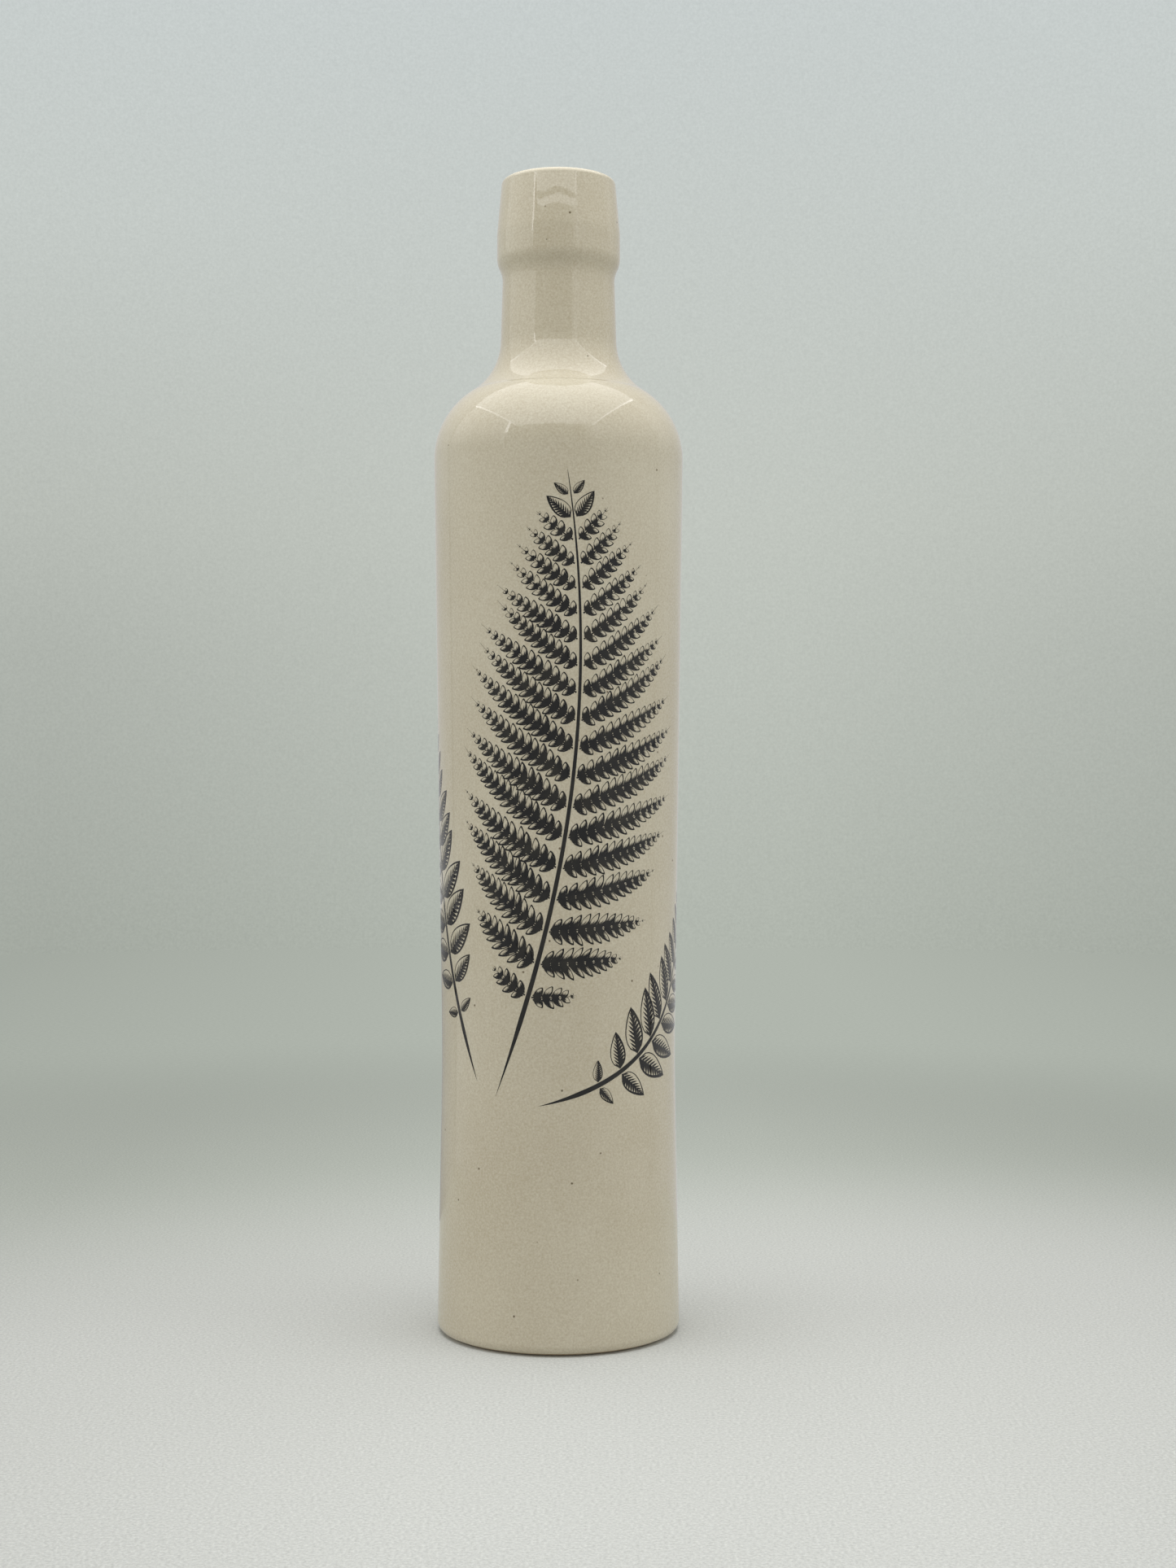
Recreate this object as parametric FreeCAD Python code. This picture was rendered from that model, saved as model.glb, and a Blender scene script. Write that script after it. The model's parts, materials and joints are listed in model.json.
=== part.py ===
import FreeCAD, Part
import math
import os

# A tall slip-cast earthenware bottle vase, in millimetres.
# The foot stands on Z = 0, the axis is Z, and the print faces -Y.

# Clay body, outside: sketch corners and the rounds that join them
clay_height = 357.6
base_radius = 37.4
foot_round = 3.2
waist_radius = 35.8
waist_height = 84.0
waist_round = 900.0
shoulder_radius = 38.6
shoulder_height = 283.9
shoulder_round = 26.5
neck_foot_radius = 18.0
neck_foot_height = 297.0
neck_flare_round = 22.0
neck_top_radius = 17.05

# Collar and lip
collar_height = 25.6
collar_radius = 18.83
collar_slope_height = 3.7
collar_slope_round = 9.6
collar_edge_round = 7.7
collar_band_height = 9.0
collar_band_round = 13.5
rim_radius = 17.32
lip_outer_round = 1.3
lip_inner_round = 1.2

# Clay body, inside and underneath
wall = 4.2
bore_radius = 13.2
floor_thickness = 5.4
floor_round = 9.0
recess_depth = 2.0
recess_round = 2.4
foot_ring_width = 6.0
foot_ring_bevel = 1.2
foot_ring_round = 0.8

# Glaze coats
glaze = 0.4
dry_foot_height = 0.9

# Ink film of the print, and how far its cutters run past it
ink = 0.1
overrun = 6.0

# The print covers the wall from above the foot to a little below the shoulder corner
print_foot_height = 74.0
print_shoulder_gap = 20.9
stalk_width = 1.6
stalk_gap = 0.5

# Fern fronds: root and tip (round the wall, then up), bow and longest blade, as shares of the print's height
tall_frond_shares = ((-0.106, 0.011), (0.016, 1.0), -0.069, 0.222)
tall_frond_pairs = 19
left_frond_shares = ((-0.143, 0.032), (-0.317, 0.656), 0.026, 0.085)
left_frond_pairs = 13
right_frond_shares = ((-0.032, 0.0), (0.315, 0.365), -0.085, 0.08)
right_frond_pairs = 12

# How every frond grows: bare and crowded stretches, the longest blade, and the lean away from the stalk
bare_stalk_share = 0.14
bare_tip_share = 0.04
crowding_share = 0.25
longest_blade_share = 0.32
low_lean = math.radians(72)
high_lean = math.radians(44)

# Stalk and blade outlines
stalk_swell_share = 0.125
stalk_station_count = 9
blade_width_share = 0.8
blade_fullest_share = 0.41
blade_upper_share = 0.4
blade_lower_share = 0.6
blade_slenderness = 2.0


def way(start, end):
    return (end - start).normalize()


def right_of(direction):
    return FreeCAD.Vector(direction.z, 0, -direction.x)


def turn(corners, i):
    """Angle by which an outline turns left at a corner."""
    before = way(corners[i - 1][0], corners[i][0])
    after = way(corners[i][0], corners[i + 1][0])
    return math.atan2(before.x * after.z - before.z * after.x, before.dot(after))


def corner(radius, height, rounding=0):
    return FreeCAD.Vector(radius, 0, height), rounding


def moved(corners, distance):
    """The outline moved to its right by a distance. Each round keeps its centre."""
    result = []
    last = len(corners) - 1
    for i, (point, rounding) in enumerate(corners):
        before = right_of(way(corners[i - 1][0], point)) if i > 0 else None
        after = right_of(way(point, corners[i + 1][0])) if i < last else None
        before, after = before or after, after or before
        shift = (before + after) * (distance / (1 + before.dot(after)))
        if 0 < i < last:
            rounding += math.copysign(distance, turn(corners, i))
        result.append((point + shift, rounding))
    return result


def rounded(corners):
    """Edges of straight runs joined by tangent arcs. A round shrinks where its runs are short."""
    reach = [0] * len(corners)
    for i in range(1, len(corners) - 1):
        reach[i] = corners[i][1] * math.tan(abs(turn(corners, i)) / 2)
    room = []
    for i in range(1, len(corners)):
        run = (corners[i][0] - corners[i - 1][0]).Length
        room.append(min(1, run / (reach[i - 1] + reach[i] or run)))
    edges = []
    here = corners[0][0]
    for i in range(1, len(corners) - 1):
        point, rounding = corners[i]
        fit = min(room[i - 1], room[i])
        back = way(point, corners[i - 1][0])
        on = way(point, corners[i + 1][0])
        half = abs(turn(corners, i)) / 2
        middle = point + way(point, point + back + on) * (fit * rounding * (1 / math.cos(half) - 1))
        start = point + back * (fit * reach[i])
        end = point + on * (fit * reach[i])
        if not start.isEqual(here, Part.Precision.confusion()):
            edges.append(Part.makeLine(here, start))
        edges.append(Part.Arc(start, middle, end).toShape())
        here = end
    edges.append(Part.makeLine(here, corners[-1][0]))
    return edges


def turned(edges):
    """A solid turned from the edges of a closed section, with its seam at the back."""
    section = Part.Face(Part.Wire(Part.__sortEdges__(edges)))
    solid = section.revolve(FreeCAD.Vector(), FreeCAD.Vector(0, 0, 1), 360)
    solid.rotate(FreeCAD.Vector(), FreeCAD.Vector(0, 0, 1), 90)
    return solid


def between(inner, outer):
    """A turned skin between an outline and the same outline moved outwards."""
    ends = [Part.makeLine(inner[i][0], outer[i][0]) for i in (0, -1)]
    return turned(rounded(inner) + rounded(outer) + ends)


collar_foot = clay_height - collar_height
wall_corners = [
    corner(waist_radius, waist_height, waist_round),
    corner(shoulder_radius, shoulder_height, shoulder_round),
    corner(neck_foot_radius, neck_foot_height, neck_flare_round),
]
lip_seam = corner((rim_radius + bore_radius) / 2, clay_height)
recess_radius = base_radius - foot_ring_width
underside = [
    corner(0, recess_depth),
    corner(recess_radius - foot_ring_bevel, recess_depth, recess_round),
    corner(recess_radius, 0, foot_ring_round),
]
outside = [
    corner(recess_radius, 0),
    corner(base_radius, 0, foot_round),
    *wall_corners,
    corner(neck_top_radius, collar_foot - collar_slope_height, collar_slope_round),
    corner(collar_radius, collar_foot, collar_edge_round),
    corner(collar_radius, collar_foot + collar_band_height, collar_band_round),
    corner(rim_radius, clay_height, lip_outer_round),
    lip_seam,
]


def inside_outline():
    """Corners from the lip down the bore, along the even wall, and over the floor to the axis."""
    waist, shoulder, flare = [(p, r) for p, r in moved(wall_corners, -wall)]
    slope = way(flare[0], shoulder[0])
    bore_foot = flare[0] + slope * ((bore_radius - flare[0].x) / slope.x)
    floor = recess_depth + floor_thickness
    return [
        lip_seam,
        corner(bore_radius, clay_height, lip_inner_round),
        (bore_foot, neck_flare_round + wall),
        (shoulder[0], shoulder_round - wall),
        (waist[0], waist_round + wall),
        corner(base_radius - wall, floor, floor_round),
        corner(0, floor),
    ]


inside = inside_outline()


def make_clay_body():
    corners = underside + outside[1:-1] + inside[1:]
    axis_line = Part.makeLine(corners[-1][0], corners[0][0])
    return turned(rounded(corners) + [axis_line])


def make_outer_glaze():
    """The coat outside and over the lip, wiped off the foot."""
    coat = between(outside, moved(outside, glaze))
    below = FreeCAD.Vector(0, 0, -overrun)
    wiped = Part.makeCylinder(base_radius + overrun, overrun + dry_foot_height, below)
    return coat.cut(wiped)


def make_inner_glaze():
    """The coat poured in, from the lip down to the floor."""
    return between(inside, moved(inside, glaze))


print_radius = (waist_radius + shoulder_radius) / 2 + glaze
print_height = shoulder_height - print_shoulder_gap - print_foot_height


def wall_radius(height):
    """Radius of the glazed wall at a height, along the straight runs of its outline."""
    base, waist, shoulder = [point for point, _ in outside[1:4]]
    low, high = (base, waist) if height < waist.z else (waist, shoulder)
    return low.x + (high.x - low.x) * (height - low.z) / (high.z - low.z) + glaze


def cutter(sides, middle):
    """A prism out through the wall. Its two sides are rows of places, with the same first and last."""
    edges = []
    for side in sides:
        points = []
        for along, height in side:
            across = wall_radius(height) * math.sin((along - middle) / print_radius)
            points.append(FreeCAD.Vector(across, -print_radius / 2, height))
        curve = Part.BSplineCurve()
        curve.interpolate(points)
        edges.append(curve.toShape())
    face = Part.Face(Part.Wire(Part.__sortEdges__(edges)))
    prism = face.extrude(FreeCAD.Vector(0, -print_radius / 2 - overrun, 0))
    prism.rotate(FreeCAD.Vector(), FreeCAD.Vector(0, 0, 1), math.degrees(middle / print_radius))
    return prism


def on_arc(root, tip, bow, share):
    """Place and unit direction at a share of a shallow arc that bows to its left, and its chord's length."""
    chord = (tip[0] - root[0], tip[1] - root[1])
    length = math.hypot(*chord)
    left = (-chord[1] / length, chord[0] / length)
    rise = 4 * bow * share * (1 - share)
    slope = 4 * bow * (1 - 2 * share) / length
    place = [root[i] + chord[i] * share + left[i] * rise for i in (0, 1)]
    ahead = [chord[i] / length + left[i] * slope for i in (0, 1)]
    size = math.hypot(*ahead)
    return place, [a / size for a in ahead], length


def stalk(root, tip, bow):
    """A tapered stalk, pointed at both ends, as the two sides of the arc."""
    sides = ([], [])
    for k in range(stalk_station_count):
        share = k / (stalk_station_count - 1)
        place, ahead, _ = on_arc(root, tip, bow, share)
        half = stalk_width / 2 * min(1, share / stalk_swell_share) * math.sqrt(1 - share)
        for side, sign in zip(sides, (1, -1)):
            side.append((place[0] - ahead[1] * half * sign, place[1] + ahead[0] * half * sign))
    return cutter(sides, (root[0] + tip[0]) / 2)


def blade(start, direction, length, width):
    """A pointed blade that is fuller on its lower edge."""
    side = (-direction[1], direction[0])
    edges = []
    for fullness in (blade_upper_share, -blade_lower_share):
        fullest = length * blade_fullest_share
        middle = [start[i] + direction[i] * fullest + side[i] * width * fullness for i in (0, 1)]
        tip = [start[i] + direction[i] * length for i in (0, 1)]
        edges.append([start, middle, tip])
    return cutter(edges, start[0] + direction[0] * length / 2)


def frond(shares, pairs):
    """Cutters of a stalk and of pairs of blades that lean towards the tip."""
    root, tip = [(across * print_height, print_foot_height + up * print_height) for across, up in shares[:2]]
    bow, longest = [share * print_height for share in shares[2:]]
    cutters = [stalk(root, tip, bow)]
    leafy_share = 1 - bare_stalk_share
    peak = math.log(0.5) / math.log(longest_blade_share)
    for k in range(pairs):
        step = (k + 0.5) / pairs * (1 - bare_tip_share)
        share = bare_stalk_share + leafy_share * step * (1 + crowding_share * (1 - step))
        place, ahead, chord = on_arc(root, tip, bow, share)
        spacing = chord * leafy_share * (1 + crowding_share * (1 - 2 * step)) / pairs
        length = longest * math.sin(math.pi * step ** peak)
        lean = low_lean + (high_lean - low_lean) * step
        width = min(spacing * math.sin(lean) * blade_width_share, length / blade_slenderness)
        for sign in (1, -1):
            direction = (
                ahead[0] * math.cos(lean) - sign * ahead[1] * math.sin(lean),
                ahead[1] * math.cos(lean) + sign * ahead[0] * math.sin(lean),
            )
            start = [place[i] + direction[i] * (stalk_width / 2 + stalk_gap) for i in (0, 1)]
            cutters.append(blade(start, direction, length, width))
    return cutters


def make_transfer_print():
    """The ink film left where the fronds' outlines pass through it."""
    coat = moved(outside, glaze)
    film = between(coat, moved(coat, ink))
    cutters = frond(tall_frond_shares, tall_frond_pairs)
    cutters += frond(left_frond_shares, left_frond_pairs)
    cutters += frond(right_frond_shares, right_frond_pairs)
    return film.common(cutters)


os.makedirs("parts", exist_ok=True)
nodes = {
    "clay_body": make_clay_body(),
    "outer_glaze": make_outer_glaze(),
    "inner_glaze": make_inner_glaze(),
    "transfer_print": make_transfer_print(),
}
for name, shape in nodes.items():
    shape.exportStep("parts/" + name + ".step")
    print(name, "solids", len(shape.Solids), "valid", shape.isValid(), "volume", round(shape.Volume, 1))
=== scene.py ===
import json
import math
import random

import bpy
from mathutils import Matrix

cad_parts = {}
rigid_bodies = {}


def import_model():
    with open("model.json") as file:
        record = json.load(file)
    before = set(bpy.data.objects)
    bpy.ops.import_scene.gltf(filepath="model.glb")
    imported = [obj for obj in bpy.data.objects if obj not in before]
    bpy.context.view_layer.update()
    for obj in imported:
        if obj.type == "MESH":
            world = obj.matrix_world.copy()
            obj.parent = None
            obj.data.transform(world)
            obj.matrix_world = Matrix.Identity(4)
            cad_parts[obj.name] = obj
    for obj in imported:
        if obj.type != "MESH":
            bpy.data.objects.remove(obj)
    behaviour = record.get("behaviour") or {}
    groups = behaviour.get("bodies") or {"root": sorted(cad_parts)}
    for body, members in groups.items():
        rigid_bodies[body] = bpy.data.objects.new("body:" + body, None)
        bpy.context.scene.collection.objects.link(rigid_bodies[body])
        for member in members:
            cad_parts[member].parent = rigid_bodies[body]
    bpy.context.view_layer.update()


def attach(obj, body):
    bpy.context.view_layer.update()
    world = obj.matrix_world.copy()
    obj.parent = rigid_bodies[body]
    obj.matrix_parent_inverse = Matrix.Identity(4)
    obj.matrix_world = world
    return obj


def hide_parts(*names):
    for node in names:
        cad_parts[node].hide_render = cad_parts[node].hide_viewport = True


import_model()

# Bisque body: one hollow casting in white earthenware, poured as slip into a plaster mould. The wall is
# even, the underside is recessed inside a foot ring, and the clay shows only there, because the glaze was
# wiped off.
clay_height = 0.3576
base_radius = 0.0374
foot_round = 0.0032
waist_radius = 0.0358
waist_height = 0.084
waist_round = 0.9
shoulder_radius = 0.0386
shoulder_height = 0.2839
shoulder_round = 0.0265
neck_foot_radius = 0.018
neck_foot_height = 0.297
neck_flare_round = 0.022
neck_top_radius = 0.01705
collar_height = 0.0256
collar_radius = 0.01883
collar_slope_height = 0.0037
collar_slope_round = 0.0096
collar_edge_round = 0.0077
collar_band_height = 0.009
collar_band_round = 0.0135
rim_radius = 0.01732
lip_outer_round = 0.0013
lip_inner_round = 0.0012
wall = 0.0042
bore_radius = 0.0132
floor_height = 0.0074
floor_round = 0.009
recess_depth = 0.002
recess_round = 0.0024
foot_ring_width = 0.006
foot_ring_bevel = 0.0012
foot_ring_round = 0.0008
collar_foot = clay_height - collar_height
recess_radius = base_radius - foot_ring_width
seam_radius = (rim_radius + bore_radius) / 2
seen_step = math.radians(2.5)
hidden_step = math.radians(6)
fewest_steps = 8
run_step = 0.006
sectors = 256
on_axis = 1e-6
crease_angle = math.radians(40)
clay_hex = "#dccdb4"
clay_stain_hex = "#c3b090"
clay_stain_size = 0.012
clay_grain = 0.0006
clay_grain_depth = clay_grain / 4


def unit(x, y):
    size = math.hypot(x, y)
    return x / size, y / size


def turn(corners, i):
    """Angle by which an outline of (radius, height, rounding) corners turns left at a corner."""
    (x0, z0), (x1, z1), (x2, z2) = (corner[:2] for corner in corners[i - 1:i + 2])
    before, after = unit(x1 - x0, z1 - z0), unit(x2 - x1, z2 - z1)
    leftwards = before[0] * after[1] - before[1] * after[0]
    return math.atan2(leftwards, before[0] * after[0] + before[1] * after[1])


def moved(corners, distance):
    """The outline moved to its right by a distance. Each round keeps its centre."""
    result = []
    last = len(corners) - 1
    for i, (x, z, rounding) in enumerate(corners):
        before = unit(x - corners[i - 1][0], z - corners[i - 1][1]) if i > 0 else None
        after = unit(corners[i + 1][0] - x, corners[i + 1][1] - z) if i < last else None
        before, after = before or after, after or before
        share = distance / (1 + before[0] * after[0] + before[1] * after[1])
        if 0 < i < last:
            rounding += math.copysign(distance, turn(corners, i))
        result.append((x + (before[1] + after[1]) * share, z - (before[0] + after[0]) * share, rounding))
    return result


def rounded(corners, arc_step):
    """Points along straight runs joined by tangent arcs. An arc turns by at most a step between points."""
    last = len(corners) - 1
    turns = [0] + [turn(corners, i) for i in range(1, last)] + [0]
    reach = [corner[2] * math.tan(abs(angle) / 2) for corner, angle in zip(corners, turns)]
    room = []
    for i in range(1, last + 1):
        run = math.dist(corners[i - 1][:2], corners[i][:2])
        room.append(min(1, run / (reach[i - 1] + reach[i] or run)))
    points = [corners[0][:2]]

    def run_to(x, z):
        x0, z0 = points[-1]
        steps = math.ceil(math.hypot(x - x0, z - z0) / run_step)
        points.extend((x0 + (x - x0) * k / steps, z0 + (z - z0) * k / steps) for k in range(1, steps + 1))

    for i in range(1, last):
        x, z, rounding = corners[i]
        back = unit(corners[i - 1][0] - x, corners[i - 1][1] - z)
        ahead = unit(corners[i + 1][0] - x, corners[i + 1][1] - z)
        inward = unit(back[0] + ahead[0], back[1] + ahead[1])
        fit = min(room[i - 1], room[i])
        deep = fit * rounding / math.cos(turns[i] / 2)
        centre = (x + inward[0] * deep, z + inward[1] * deep)
        start = (x + back[0] * fit * reach[i], z + back[1] * fit * reach[i])
        run_to(*start)
        arm = (start[0] - centre[0], start[1] - centre[1])
        steps = max(fewest_steps, math.ceil(abs(turns[i]) / arc_step))
        for k in range(1, steps + 1):
            cosine, sine = math.cos(turns[i] * k / steps), math.sin(turns[i] * k / steps)
            points.append((
                centre[0] + arm[0] * cosine - arm[1] * sine,
                centre[1] + arm[0] * sine + arm[1] * cosine,
            ))
    run_to(*corners[last][:2])
    return points


def turned(name, outline):
    """A closed mesh turned about the axis from a closed outline, with its inside on the left."""
    verts, faces, rings = [], [], []
    for radius, height in outline:
        first = len(verts)
        if radius < on_axis:
            verts.append((0, 0, height))
            rings.append([first] * (sectors + 1))
            continue
        for k in range(sectors):
            angle = 2 * math.pi * k / sectors
            verts.append((radius * math.cos(angle), radius * math.sin(angle), height))
        rings.append([first + k % sectors for k in range(sectors + 1)])
    for low, high in zip(rings, rings[1:] + rings[:1]):
        if len(set(low)) == len(set(high)) == 1:
            continue
        for k in range(sectors):
            face = dict.fromkeys((low[k], low[k + 1], high[k + 1], high[k]))
            faces.append(tuple(face))
    mesh = bpy.data.meshes.new(name)
    mesh.from_pydata(verts, [], faces)
    mesh.shade_smooth()
    mesh.set_sharp_from_angle(angle=crease_angle)
    piece = bpy.data.objects.new(name, mesh)
    bpy.context.scene.collection.objects.link(piece)
    return piece


def linear(hex_colour, alpha=1.0):
    """An sRGB hex colour as linear values."""
    values = [int(hex_colour[i:i + 2], 16) / 255 for i in (1, 3, 5)]
    return [v / 12.92 if v <= 0.04045 else ((v + 0.055) / 1.055) ** 2.4 for v in values] + [alpha]


def add(tree, kind, settings=None, **links):
    """A new node with its settings, and with each input linked to a socket or set to a value."""
    families = ["ShaderNode", ""]
    if tree.type == "GEOMETRY":
        families = ["GeometryNode", "FunctionNode"] + families
    node = tree.nodes.new(next(family + kind for family in families if hasattr(bpy.types, family + kind)))
    for key, value in (settings or {}).items():
        setattr(node, key, value)
    sockets = {socket.identifier: socket for socket in node.inputs}
    for key, value in links.items():
        named = key.replace("_", " ")
        socket = node.inputs[int(key[1:])] if key[1:].isdigit() else sockets.get(key) or node.inputs[named]
        if isinstance(value, bpy.types.NodeSocket):
            tree.links.new(value, socket)
        else:
            socket.default_value = value
    return node


def new_material(name):
    material = bpy.data.materials.new(name)
    material.use_nodes = True
    material.node_tree.nodes.clear()
    return material, material.node_tree


wall_corners = [
    (waist_radius, waist_height, waist_round),
    (shoulder_radius, shoulder_height, shoulder_round),
    (neck_foot_radius, neck_foot_height, neck_flare_round),
]
outside = [
    (recess_radius, 0, 0),
    (base_radius, 0, foot_round),
    *wall_corners,
    (neck_top_radius, collar_foot - collar_slope_height, collar_slope_round),
    (collar_radius, collar_foot, collar_edge_round),
    (collar_radius, collar_foot + collar_band_height, collar_band_round),
    (rim_radius, clay_height, lip_outer_round),
    (seam_radius, clay_height, 0),
]
underside = [
    (0, recess_depth, 0),
    (recess_radius - foot_ring_bevel, recess_depth, recess_round),
    (recess_radius, 0, foot_ring_round),
]
inner_waist, inner_shoulder, inner_flare = moved(wall_corners, -wall)
bore_foot_share = (inner_flare[0] - bore_radius) / (inner_shoulder[0] - inner_flare[0])
inside = [
    (seam_radius, clay_height, 0),
    (bore_radius, clay_height, lip_inner_round),
    (
        bore_radius,
        inner_flare[1] + (inner_flare[1] - inner_shoulder[1]) * bore_foot_share,
        neck_flare_round + wall,
    ),
    (inner_shoulder[0], inner_shoulder[1], shoulder_round - wall),
    (inner_waist[0], inner_waist[1], waist_round + wall),
    (base_radius - wall, floor_height, floor_round),
    (0, floor_height, 0),
]
body = turned("bisque_body", rounded(underside + outside[1:-1] + inside[1:], hidden_step))

# White earthenware bisque: dry, porous and matt, and a little stained where it was wiped. Its grain looks
# faintly sandy. The real one is about 0.1 mm and too fine to show, so it is drawn at 0.6 mm.
bisque, tree = new_material("white_earthenware_bisque")
place = add(tree, "TexCoord").outputs["Object"]
stain = add(tree, "TexNoise", Vector=place, Scale=1 / clay_stain_size, Detail=4.0)
tone = add(
    tree, "Mix", {"data_type": "RGBA"},
    _0=stain.outputs["Fac"], _6=linear(clay_hex), _7=linear(clay_stain_hex),
)
grain = add(tree, "TexNoise", Vector=place, Scale=1 / clay_grain, Detail=2.0)
bump = add(tree, "Bump", Strength=0.35, Distance=clay_grain_depth, Height=grain.outputs["Fac"])
shader = add(
    tree, "BsdfPrincipled",
    Base_Color=tone.outputs[2], Normal=bump.outputs["Normal"], Roughness=0.88, IOR=1.5,
)
add(tree, "OutputMaterial", Surface=shader.outputs["BSDF"])
body.data.materials.append(bisque)
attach(body, "root")
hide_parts("clay_body")

# Glaze coats: one clear cream glaze, dipped outside and poured inside, then fused to the clay in the glost
# firing. It is about 0.4 mm thick, meets over the lip, and was wiped back 0.9 mm above the foot so that it
# doesn't stick.
glaze = 0.0004
dry_foot_height = 0.0009
rim_fade = 0.0012
glaze_hex = "#d1cab6"
glaze_warm_hex = "#bcb199"
glaze_thin_hex = "#d6ceb9"
speck_hex = "#6d604a"
cloud_size = 0.045
mottle_size = 0.0006
mottle_weight = 2.6
warm_below = 1.3
pale_above = 2.3
speck_spacing = 0.0075
speck_radius = 0.00022
specked_share = 0.55
wave_size = 0.03
wave_depth = 0.00003
peel_size = 0.0035
peel_depth = 0.000004

coat_face = [point for point in rounded(moved(outside, glaze), seen_step) if point[1] > dry_foot_height]
coat_back = [point for point in rounded(outside, hidden_step) if point[1] > dry_foot_height]
outer_coat = turned("outer_coat", coat_face + coat_back[::-1])
liner_face, liner_back = rounded(moved(inside, glaze), seen_step), rounded(inside, hidden_step)
inner_coat = turned("inner_coat", liner_face[::-1] + liner_back)


def glaze_waves(tree, place):
    """The slow waves and faint orange peel that the fired surface shows in its reflections."""
    wave = add(tree, "TexNoise", Vector=place, Scale=1 / wave_size, Detail=1.0)
    broad = add(tree, "Bump", Strength=1.0, Distance=wave_depth, Height=wave.outputs["Fac"])
    peel = add(tree, "TexNoise", Vector=place, Scale=1 / peel_size, Detail=1.0)
    finer = add(
        tree, "Bump", Strength=1.0, Distance=peel_depth,
        Height=peel.outputs["Fac"], Normal=broad.outputs["Normal"],
    )
    return finer.outputs["Normal"]


# Clear lead-free glaze over cream clay: glassy, IOR 1.5, smooth from the kiln, with a paler edge where it
# runs thin over the lip, and a few iron specks. The clay's faint mottle shows through it. The real mottle is
# finer than a pixel, so it is drawn at 0.6 mm.
cream, tree = new_material("cream_earthenware_glaze")
place = add(tree, "TexCoord").outputs["Object"]
cloud = add(tree, "TexNoise", Vector=place, Scale=1 / cloud_size, Detail=3.0)
mottle = add(tree, "TexNoise", Vector=place, Scale=1 / mottle_size, Detail=3.0, Roughness=0.7)
blend = add(
    tree, "Math", {"operation": "MULTIPLY_ADD"},
    _0=mottle.outputs["Fac"], _1=mottle_weight, _2=cloud.outputs["Fac"],
)
mixed = add(tree, "MapRange", Value=blend.outputs[0], _1=warm_below, _2=pale_above)
tone = add(
    tree, "Mix", {"data_type": "RGBA"}, _0=mixed.outputs[0], _6=linear(glaze_warm_hex), _7=linear(glaze_hex)
)
height = add(tree, "SeparateXYZ", Vector=place).outputs["Z"]
thin = add(tree, "MapRange", Value=height, _1=clay_height - rim_fade, _2=clay_height + glaze)
edge = add(
    tree, "Mix", {"data_type": "RGBA"}, _0=thin.outputs[0], _6=tone.outputs[2], _7=linear(glaze_thin_hex)
)
cells = add(tree, "TexVoronoi", Vector=place, Scale=1 / speck_spacing, Randomness=1.0)
near = add(
    tree, "MapRange", Value=cells.outputs["Distance"],
    _1=speck_radius / speck_spacing, _2=2 * speck_radius / speck_spacing, _3=1.0, _4=0.0,
)
chosen = add(tree, "Math", {"operation": "LESS_THAN"}, _0=cells.outputs["Color"], _1=specked_share)
speck = add(tree, "Math", {"operation": "MULTIPLY"}, _0=near.outputs[0], _1=chosen.outputs[0])
specked = add(
    tree, "Mix", {"data_type": "RGBA"}, _0=speck.outputs[0], _6=edge.outputs[2], _7=linear(speck_hex)
)
shader = add(
    tree, "BsdfPrincipled",
    Base_Color=specked.outputs[2], Normal=glaze_waves(tree, place), Roughness=0.015, IOR=1.5,
)
add(tree, "OutputMaterial", Surface=shader.outputs["BSDF"])
for piece, node, slot in (
    (outer_coat, "outer_glaze", "cream_glaze"),
    (inner_coat, "inner_glaze", "liner_glaze"),
):
    piece.data.materials.append(cream)
    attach(piece, "root")
    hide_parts(node)

# Print: three fern fronds, printed in one dark slate ink from an engraved plate, laid on the glaze as a
# transfer and fired again until the ink sank in. Its strokes are 0.2 to 0.8 mm wide, its stalks up to
# 1.5 mm, and it wraps round the front half.
print_foot_height = 0.074
print_shoulder_gap = 0.0209
print_radius = (waist_radius + shoulder_radius) / 2 + glaze
print_height = shoulder_height - print_shoulder_gap - print_foot_height
ink_relief = 0.00003
stalk_width = 0.0016
stalk_gap = 0.0003
stem_step = 0.0016
rib_width = 0.0005
divided_blade_length = 0.011
leaflet_spacing = 0.0027
low_lean = math.radians(72)
high_lean = math.radians(44)
leaflet_jitter = math.radians(4)

# A frond's shares of the print's height: places of its root and tip, its bow, and its longest blade.
tall_frond_shares = ((-0.106, 0.011), (0.016, 1.0), -0.069, 0.222)
left_frond_shares = ((-0.143, 0.032), (-0.317, 0.656), 0.026, 0.085)
right_frond_shares = ((-0.032, 0.0), (0.315, 0.365), -0.085, 0.08)
tall_frond_pairs = 19
left_frond_pairs = 13
right_frond_pairs = 12

# Shares of a frond's length, and what its blades vary by: lengths as shares, bends and lifts in degrees.
bare_stalk_share = 0.14
bare_tip_share = 0.04
crowding_share = 0.25
longest_blade_share = 0.32
stalk_swell_share = 0.125
blade_length_shares = (0.95, 1.03)
blade_bends = (-16, -6)
blade_lifts = (1, 5)

# How leaflets lean, in degrees that fall along a blade, and how broad they are. Shades are counted in
# plates, from the pale leaflet's up to the dark one's.
fewest_leaflets = 3
leaflet_lean = 58
leaflet_lean_fall = 22
leaflet_overlap_share = 1.15
leaflet_breadth_share = 0.7
blade_foot_share = 0.2
rib_taper_share = 0.9
paling_share = 0.45
stalk_shade = 2.1
tip_light = 1.3
under_shade = 0.7
shade_jitter = 0.4
light_from = (0.8, 0.6)

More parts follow.
